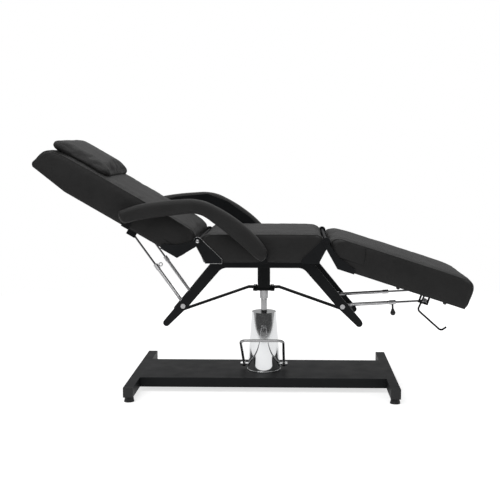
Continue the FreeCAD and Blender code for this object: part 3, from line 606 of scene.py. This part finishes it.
def stitches(name, line, across):
    """Row of single stitches beside a seam, shifted across it."""
    steps = lengths_along(line)
    points, faces = [], []
    for start in np.arange(STITCH_PITCH, steps[-1] - STITCH_PITCH, STITCH_PITCH):
        ends = [np.array([np.interp(place, steps, line[:, k]) for k in range(3)])
                for place in (start, start + STITCH_LENGTH)]
        way = ends[1] - ends[0]
        way /= np.linalg.norm(way)
        side = np.cross(way, ACROSS)
        side /= np.linalg.norm(side)
        first = len(points)
        for reach, end in ((STITCH_TAPER, ends[0]), (1.0, (ends[0] + ends[1]) / 2),
                           (STITCH_TAPER, ends[1])):
            for n in range(STITCH_SIDES):
                turn = 2 * math.pi * n / STITCH_SIDES
                ring = math.cos(turn) * side + math.sin(turn) * ACROSS
                points.append(end + across + STITCH_RADIUS * reach * ring)
        for row in range(2):
            for n in range(STITCH_SIDES):
                m = (n + 1) % STITCH_SIDES
                low, high = first + row * STITCH_SIDES, first + (row + 1) * STITCH_SIDES
                faces.append((low + n, low + m, high + m, high + n))
        faces.append(tuple(first + n for n in range(STITCH_SIDES))[::-1])
        faces.append(tuple(first + 2 * STITCH_SIDES + n for n in range(STITCH_SIDES)))
    return new_piece(name, points, faces, THREAD)


def pad_with_welts(pad, body, node, pressure=2.0, shrink=-0.012, cap=0.006):
    """Make a pad with the thin welts in its seams and the stitches beside them, and settle all."""
    piece = pad.build(LEATHER, pressure, shrink, cap)
    settle(piece, body, "upholstery", node)
    for side, line in zip(("near", "far"), pad.seam_lines()):
        # The welt's lighter colour is a painted highlight along the seam
        welt = tube(pad.name + "_welt_" + side, smooth_line(line, 2 * len(line)), WELT_RADIUS, SEAM_HIGHLIGHT)
        settle(welt, body, "upholstery")
        inward = Vector((0.0, STITCH_INSET if side == "near" else -STITCH_INSET, 0.0))
        lift = pad.place.to_3x3().col[2] * STITCH_RADIUS
        top_line = line[pad.counts[2]:-pad.counts[2]]
        row = stitches(pad.name + "_stitches_" + side, top_line, np.array(inward + lift))
        settle(row, body, "upholstery")


SLIT_RADIUS = 0.0015
SLIT_POINTS = 24
SLIT_THIN = 0.05


def side_lines(name, place, body, lines, half_width):
    """Painted shadow in the cut lines of both side panels, drawn as thin black tubes from points of
    (along, up) in millimetres.
    """
    swell = np.clip(np.sin(np.linspace(0.0, math.pi, SLIT_POINTS)), SLIT_THIN, 1.0)
    taper = SLIT_RADIUS * np.sqrt(swell)
    for side_name, side in SIDES:
        for n, line in enumerate(lines):
            along, up = (smooth_line(line, SLIT_POINTS) * MM).T
            across = np.full(SLIT_POINTS, side * half_width * MM)
            path = to_row(place, np.column_stack([along, across, up]))
            cut = tube(name + "_%d_" % n + side_name, path, taper, SLIT_SHADOW)
            settle(cut, body, "upholstery")


seat_pad = Pad(
    "seat_pad", SEAT,
    start=[(-235, -85), (-245, -60), (-249, -30), (-248, 0), (-242, 16), (-224, 24)],
    end=[(229, -85), (238, -60), (245, -30), (249, 0), (243, 16), (224, 24)],
    bottom=[(-235, -85), (0, -85), (229, -85)],
    crease=[(-224, 24), (-100, 25), (0, 25), (100, 25), (224, 24)],
    half_width=PAD_HALF_WIDTHS, crown=PAD_CROWN, corner=22.0, seed=1)
pad_with_welts(seat_pad, "upper_frame", "seat_cushion")

back_pad = Pad(
    "back_pad", BACK,
    start=[(34, -95), (17, -62), (9, -24), (10, 4), (19, 16), (38, 23)],
    end=[(722, -71), (730, -62), (726, -40), (719, -8), (711, 6), (694, 15)],
    bottom=[(34, -95), (300, -95), (540, -94.5), (580, -91), (722, -71)],
    crease=[(38, 23), (141, 27), (350, 28), (560, 27), (640, 24), (694, 15)],
    half_width=PAD_HALF_WIDTHS, crown=PAD_CROWN, corner=24.0, seed=2)
pad_with_welts(back_pad, "backrest", "back_cushion")
# Painted shadow in the slit cut into each backrest side panel
side_lines("back_slit_shadow", BACK, "backrest", [[(77, -60), (102, -61.5), (127, -62)]], 244.0)

leg_pad = Pad(
    "leg_pad", LEG,
    start=[(80, -86), (52, -52), (21, -18), (11, 4), (20, 17), (42, 25)],
    end=[(613, -86), (621, -74), (624, -40), (625, 2), (618, 18), (598, 26)],
    bottom=[(80, -86), (330, -86), (613, -86)],
    crease=[(42, 25), (150, 26.5), (330, 27.5), (500, 27.5), (598, 26)],
    half_width=PAD_HALF_WIDTHS, crown=PAD_CROWN, corner=46.0, seed=3)
pad_with_welts(leg_pad, "legrest", "leg_cushion")
# Painted shadow in the slits cut into each leg rest side panel
side_lines("leg_slit_shadow", LEG, "legrest", [[(30, -43), (90, -46), (172, -46.5)],
                                        [(172, -46), (166, -10), (158, 24)]], 244.5)


PILLOW_STEP = 0.008
PILLOW_FEWEST = 6
PILLOW_FLATNESS = 6


def rounded_block(name, place, low, high, edge, crown, bow):
    """Soft block: a box in a section's frame with wide rounded edges and a crowned top.

    bow draws the low end in at the middle.
    """
    low, high = np.array(low) * MM, np.array(high) * MM
    size = high - low
    counts = tuple(max(PILLOW_FEWEST, round(extent / PILLOW_STEP)) for extent in size)
    steps, faces = block_grid(counts)
    unit = steps / np.array(counts)
    edge = np.array(edge) * MM
    local = low + unit * size
    inner = np.clip(local, low + edge, high - edge)
    out = (local - inner) / edge
    far = np.abs(out).max(axis=1)
    length = np.linalg.norm(out, axis=1)
    out *= np.where(length > 0, far / np.maximum(length, TINY), 0.0)[:, None]
    local = inner + out * edge
    p, q = 2 * unit[:, 0] - 1, 2 * unit[:, 1] - 1
    local[:, 2] += crown * MM * unit[:, 2] * (1 - p ** PILLOW_FLATNESS) * (1 - q ** 2)
    local[:, 0] += bow * MM * (1 - unit[:, 0]) * (1 - q ** 2)
    piece = new_piece(name, to_row(place, local), faces, LEATHER)
    face_out(piece, place)
    return piece, steps, counts


# Pillow: corners, edge radii, crown and bow in millimetres in the backrest's frame
PILLOW_LOW = (444.0, -206.0, 26.0)
PILLOW_HIGH = (706.0, 196.0, 65.0)
PILLOW_EDGE = (32.0, 30.0, 18.0)
PILLOW_CROWN = 15.0
PILLOW_BOW = 2.0
PILLOW_PRESSURE = 2.2
PILLOW_SHRINK = -0.02
PILLOW_CAP = 0.008
PILLOW_MARGIN = 2


def pillow_held(steps, counts):
    """Points that the cloth holds: the row round the middle, and the underside in its margin."""
    inner = [(PILLOW_MARGIN, count - PILLOW_MARGIN) for count in counts]
    return [n for n, (i, j, k) in enumerate(steps.tolist())
            if k == counts[2] // 2 or k == 0
            and inner[0][0] < i < inner[0][1] and inner[1][0] < j < inner[1][1]]


pillow, pillow_steps, pillow_counts = rounded_block(
    "pillow_pad", BACK, PILLOW_LOW, PILLOW_HIGH, PILLOW_EDGE, PILLOW_CROWN, PILLOW_BOW)
puff(pillow, pillow_held(pillow_steps, pillow_counts),
     PILLOW_PRESSURE, PILLOW_SHRINK, PILLOW_CAP)
subdivide(pillow)
settle(pillow, "pillow", "upholstery", "head_pillow")


# Armrests

# Side outline as (x from the column, z) in millimetres, then metres from the middle of the table
ARM_TOP = ((-576, 761), (-548, 772), (-480, 793), (-400, 806), (-330, 812), (-270, 814),
           (-225, 806), (-170, 781), (-94, 733), (-42, 690), (0, 644), (30, 598))
ARM_BOTTOM = ((-552, 714), (-530, 719), (-478, 731), (-397, 743), (-325, 752), (-270, 757),
              (-236, 749), (-183, 714), (-108, 655), (-60, 614), (-22, 580), (6, 560))
ARM_SIDES = (0.258, 0.3085)
ARM_CENTRE = (ARM_SIDES[0] + ARM_SIDES[1]) / 2
ARM_HALF = (ARM_SIDES[1] - ARM_SIDES[0]) / 2
ARM_SQUARE = 3.0
MERGE_DISTANCE = 1e-6
ARM_STATIONS = 110
ARM_ROUND = 40
ARM_END = 0.018


def arm_lines():
    """Middle line of the armrest in its side view, and half its height there."""
    top = smooth_line(ARM_TOP, ARM_STATIONS) * MM
    bottom = smooth_line(ARM_BOTTOM, ARM_STATIONS) * MM
    return (top + bottom) / 2, (top - bottom) / 2


def arm_section(turn):
    """Shares across and up of the rounded-square section at an angle."""
    c, s = math.cos(turn), math.sin(turn)
    size = (abs(c) ** ARM_SQUARE + abs(s) ** ARM_SQUARE) ** (-1 / ARM_SQUARE)
    return c * size, s * size


def arm_body(name, side):
    """Padded armrest swept along its bent line, with a rounded-square section and domed ends."""
    middle, half = arm_lines()
    reach = lengths_along(middle)
    edge = np.minimum(reach, reach[-1] - reach)
    swell = np.sqrt(np.clip(1 - (1 - np.clip(edge / ARM_END, 0, 1)) ** 2, 0.0, 1.0))
    points = []
    for station in range(ARM_STATIONS):
        for n in range(ARM_ROUND):
            across, up = arm_section(2 * math.pi * n / ARM_ROUND)
            x, z = middle[station] + half[station] * swell[station] * up
            y = ARM_CENTRE + ARM_HALF * swell[station] * across
            points.append((x + COLUMN_X, side * y, z))
    faces = []
    for station in range(ARM_STATIONS - 1):
        a, b = station * ARM_ROUND, (station + 1) * ARM_ROUND
        for n in range(ARM_ROUND):
            m = (n + 1) % ARM_ROUND
            faces.append((a + n, a + m, b + m, b + n))
    piece = new_piece(name, points, faces, LEATHER)
    if side > 0:
        piece.data.flip_normals()
    shape = bmesh.new()
    shape.from_mesh(piece.data)
    bmesh.ops.remove_doubles(shape, verts=shape.verts, dist=MERGE_DISTANCE)
    shape.to_mesh(piece.data)
    shape.free()
    return piece


ARM_SEAM_RADIUS = 0.001
ARM_SEAM_TURN = -40.0
ARM_SEAM_ENDS = 6
ARM_SEAM_SIDES = 6


def arm_seam(side):
    """Closing seam of the armrest's cover, along the lower edge of its outer side."""
    middle, half = arm_lines()
    across, up = arm_section(math.radians(ARM_SEAM_TURN))
    y = side * (ARM_CENTRE + ARM_HALF * across)
    flat = (middle + half * up)[ARM_SEAM_ENDS:-ARM_SEAM_ENDS]
    return [(x + COLUMN_X, y, z) for x, z in flat]


for side_name, side in SIDES:
    arm = arm_body("armrest_" + side_name, side)
    subdivide(arm)
    settle(arm, "arm_" + side_name, "upholstery", "arm_pad_" + side_name)
    # The seam's lighter colour is a painted highlight along the armrest's lower edge
    seam = tube("arm_seam_" + side_name, arm_seam(side), ARM_SEAM_RADIUS, SEAM_HIGHLIGHT, ARM_SEAM_SIDES)
    settle(seam, "arm_" + side_name, "upholstery")


# Small pieces of metal and rubber

PIN_RADIUS = 0.0075
PIN_HEIGHT = 0.0035
RIM_RADIUS = 0.0007
RIM_SIDES = 6
FACE_TOLERANCE = 0.0002
POINT_DIGITS = 5


def dome(name, centre, way, radius, height, material, rings=6, sides=24):
    """Domed pin head that stands on a flat face."""
    centre, way = np.array(centre), np.array(way, float)
    side = np.cross(way, (0.0, 0.0, 1.0))
    over = np.cross(way, side)
    points, faces = [], []
    for ring in range(rings):
        tilt = math.pi / 2 * ring / rings
        for n in range(sides):
            turn = 2 * math.pi * n / sides
            rim = math.cos(turn) * side + math.sin(turn) * over
            points.append(centre + radius * math.cos(tilt) * rim + height * math.sin(tilt) * way)
    points.append(centre + height * way)
    for ring in range(rings - 1):
        low, high = ring * sides, (ring + 1) * sides
        for n in range(sides):
            m = (n + 1) % sides
            faces.append((low + n, low + m, high + m, high + n))
    last = (rings - 1) * sides
    faces += [(last + n, last + (n + 1) % sides, len(points) - 1) for n in range(sides)]
    faces.append(tuple(range(sides))[::-1])
    return new_piece(name, points, faces, material)


def plate_edge_highlight(name, node, side, body, reach):
    """Light metal bead round the outer face of a plate, read from the node's own mesh: a painted
    highlight on the plate's edge.
    """
    mesh = nodes[node].data
    points = np.array([v.co for v in mesh.vertices])
    inside = side * points[:, 1] > reach - FACE_TOLERANCE
    inside &= points[:, 0] < COLUMN_X
    counts = {}
    for face in mesh.polygons:
        ring = list(face.vertices)
        if all(inside[v] for v in ring):
            for a, b in zip(ring, ring[1:] + ring[:1]):
                key = (min(a, b), max(a, b))
                counts[key] = counts.get(key, 0) + 1
    keys = [tuple(point) for point in points.round(POINT_DIGITS)]
    spots = {}
    for edge, count in counts.items():
        if count == 1:
            for a, b in (edge, edge[::-1]):
                spots.setdefault(keys[a], []).append(keys[b])
    first = min(spots, key=lambda p: p[2])
    loop, last = [first], None
    while True:
        ahead = [p for p in spots[loop[-1]] if p != last and p not in loop[1:]]
        if not ahead or ahead[0] == first and len(loop) > 2:
            break
        last = loop[-1]
        loop.append(ahead[0])
    made = tube(name, loop, RIM_RADIUS, RIM_HIGHLIGHT, RIM_SIDES, True)
    settle(made, body, "zinc_steel")


BUMPER_ALONG = (340.0, 540.0)
BUMPER_SIDE = 185.0
BUMPER_RADIUS = 0.009
BUMPER_HEIGHT = 0.013
BUMPER_SIDES = 20
BUMPER_PROFILE = ((0.0, 1.15), (0.18, 1.12), (0.22, 0.95), (0.6, 0.86), (0.85, 0.72),
                  (0.97, 0.45), (1.0, 0.05))
LEG_UNDER = -88.0


def bumper(name, along, across):
    """Rubber stop under the leg rest: a short tapered post with a domed end."""
    down = -LEG.to_3x3().col[2]
    foot = LEG @ Vector((along * MM, across * MM, LEG_UNDER * MM))
    path = [tuple(foot + down * (BUMPER_HEIGHT * share)) for share, _ in BUMPER_PROFILE]
    radii = [BUMPER_RADIUS * width for _, width in BUMPER_PROFILE]
    made = tube(name, path, radii, PLASTIC, BUMPER_SIDES)
    settle(made, "legrest", "black_plastic")


COVER_RING = 0.0022
COVER_RING_POINTS = 72
COVER_RING_SIDES = 10
cover_low, cover_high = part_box("pump_cover")
cover_radius = (cover_high[0] - cover_low[0]) / 2
ring_line = circle(cover_radius, COVER_RING_POINTS, COLUMN_X, cover_low[2] + COVER_RING)
ring = tube("cover_ring", ring_line, COVER_RING, CHROME, COVER_RING_SIDES, True)
settle(ring, "base", "chrome")

SHAFT_END = 0.2545
PLATE_FACE = 0.247
for side_name, side in SIDES:
    pin = dome("hinge_pin_" + side_name, (BACK_HINGE_X, side * SHAFT_END, HINGE_Z), side * ACROSS,
               PIN_RADIUS, PIN_HEIGHT, ZINC)
    settle(pin, "backrest", "zinc_steel")
    # The bead round the plate is a painted highlight on its edge
    plate_edge_highlight("seat_plate_rim_" + side_name, "seat_hinge_plates", side, "upper_frame", PLATE_FACE)
    for n, along in enumerate(BUMPER_ALONG):
        bumper("bumper_%d_" % n + side_name, along, side * BUMPER_SIDE)


# Stage, light and camera

FLOOR_RADIUS = 2.8
FLOOR_SIDES = 96
FLOOR_COLOUR = (0.9, 0.9, 0.9)
FLOOR_GLOW = 0.68
FLOOR_MIRRORED = 0.5

LAMP_TARGET = (0.0, 0.0, 0.6)
KEY_PLACE = (-1.2, -2.2, 3.4)
KEY_SIZE = (2.6, 2.0)
KEY_POWER = 34.0
TOP_PLACE = (0.4, 1.2, 3.2)
TOP_SIZE = (3.0, 1.6)
TOP_POWER = 13.0


def stage_material(name, colour, glow):
    """Pale floor that keeps a faint shadow.

    Part of its brightness is its own for the camera, and a share of that part in reflections.
    """
    material, tree, shader = new_material(name)
    coords = object_coords(tree)
    tree.links.new(shades(tree, noise_of(tree, coords, 3.0), tinted(colour, 0.995), colour),
                   shader.inputs["Base Color"])
    shader.inputs["Roughness"].default_value = 0.9
    shader.inputs["Specular IOR Level"].default_value = 0.0
    path = add_node(tree, "LightPath")
    direct = math_of(tree, "MULTIPLY", path.outputs["Is Camera Ray"], glow)
    strength = math_of(tree, "MULTIPLY_ADD", path.outputs["Is Glossy Ray"],
                       FLOOR_MIRRORED * glow, direct)
    shader.inputs["Emission Color"].default_value = (1.0, 1.0, 1.0, 1.0)
    tree.links.new(strength, shader.inputs["Emission Strength"])
    return material


floor = new_piece("floor", circle(FLOOR_RADIUS, FLOOR_SIDES), [tuple(range(FLOOR_SIDES))],
                  stage_material("floor", FLOOR_COLOUR, FLOOR_GLOW))


def make_world():
    """White surroundings with a plain fill.

    Reflections see them white above, half lit behind and unlit in front.
    """
    world = bpy.data.worlds.new("studio")
    bpy.context.scene.world = world
    world.use_nodes = True
    tree = world.node_tree
    background = tree.nodes["Background"]
    path = add_node(tree, "LightPath")
    way = add_node(tree, "SeparateXYZ", {"Vector": add_node(tree, "TexCoord").outputs["Generated"]})
    behind = ranged(tree, way.outputs["Y"], UNLIT, HALF_LIT, BEHIND_SPAN)
    above = ranged(tree, way.outputs["Z"], UNLIT, 1.0, ABOVE_SPAN)
    mirrored = math_of(tree, "MAXIMUM", behind, above)
    glossy = math_of(tree, "MULTIPLY", path.outputs["Is Glossy Ray"], mirrored)
    direct = math_of(tree, "MAXIMUM", path.outputs["Is Camera Ray"],
                     path.outputs["Is Transmission Ray"])
    diffuse = math_of(tree, "MULTIPLY", path.outputs["Is Diffuse Ray"], WORLD_FILL)
    seen = math_of(tree, "MAXIMUM", glossy, direct)
    background.inputs["Color"].default_value = (1.0, 1.0, 1.0, 1.0)
    tree.links.new(math_of(tree, "MAXIMUM", seen, diffuse), background.inputs["Strength"])


def soft_lamp(name, place, target, size, power):
    """Large soft box aimed at a point."""
    lamp = bpy.data.lights.new(name, "AREA")
    lamp.shape = "RECTANGLE"
    lamp.size, lamp.size_y = size
    lamp.energy = power
    made = bpy.data.objects.new(name, lamp)
    made.location = place
    made.rotation_euler = (Vector(target) - Vector(place)).to_track_quat("-Z", "Y").to_euler()
    bpy.context.scene.collection.objects.link(made)


def make_camera():
    """Camera of the photograph: the shift takes the picture's middle off the optical axis."""
    camera = bpy.data.cameras.new("camera")
    camera.sensor_width = SENSOR
    camera.lens = FOCAL_PIXELS * SENSOR / PICTURE
    camera.shift_x = (PICTURE / 2 - AXIS_PIXEL[0]) / PICTURE
    camera.shift_y = (AXIS_PIXEL[1] - PICTURE / 2) / PICTURE
    made = bpy.data.objects.new("camera", camera)
    made.location = CAMERA_PLACE
    made.rotation_euler = (math.radians(90.0 - CAMERA_PITCH), 0.0, math.radians(CAMERA_TURN))
    bpy.context.scene.collection.objects.link(made)
    bpy.context.scene.camera = made


make_world()
soft_lamp("key", KEY_PLACE, LAMP_TARGET, KEY_SIZE, KEY_POWER)
soft_lamp("top", TOP_PLACE, LAMP_TARGET, TOP_SIZE, TOP_POWER)
make_camera()
bpy.context.scene.view_settings.view_transform = "Standard"
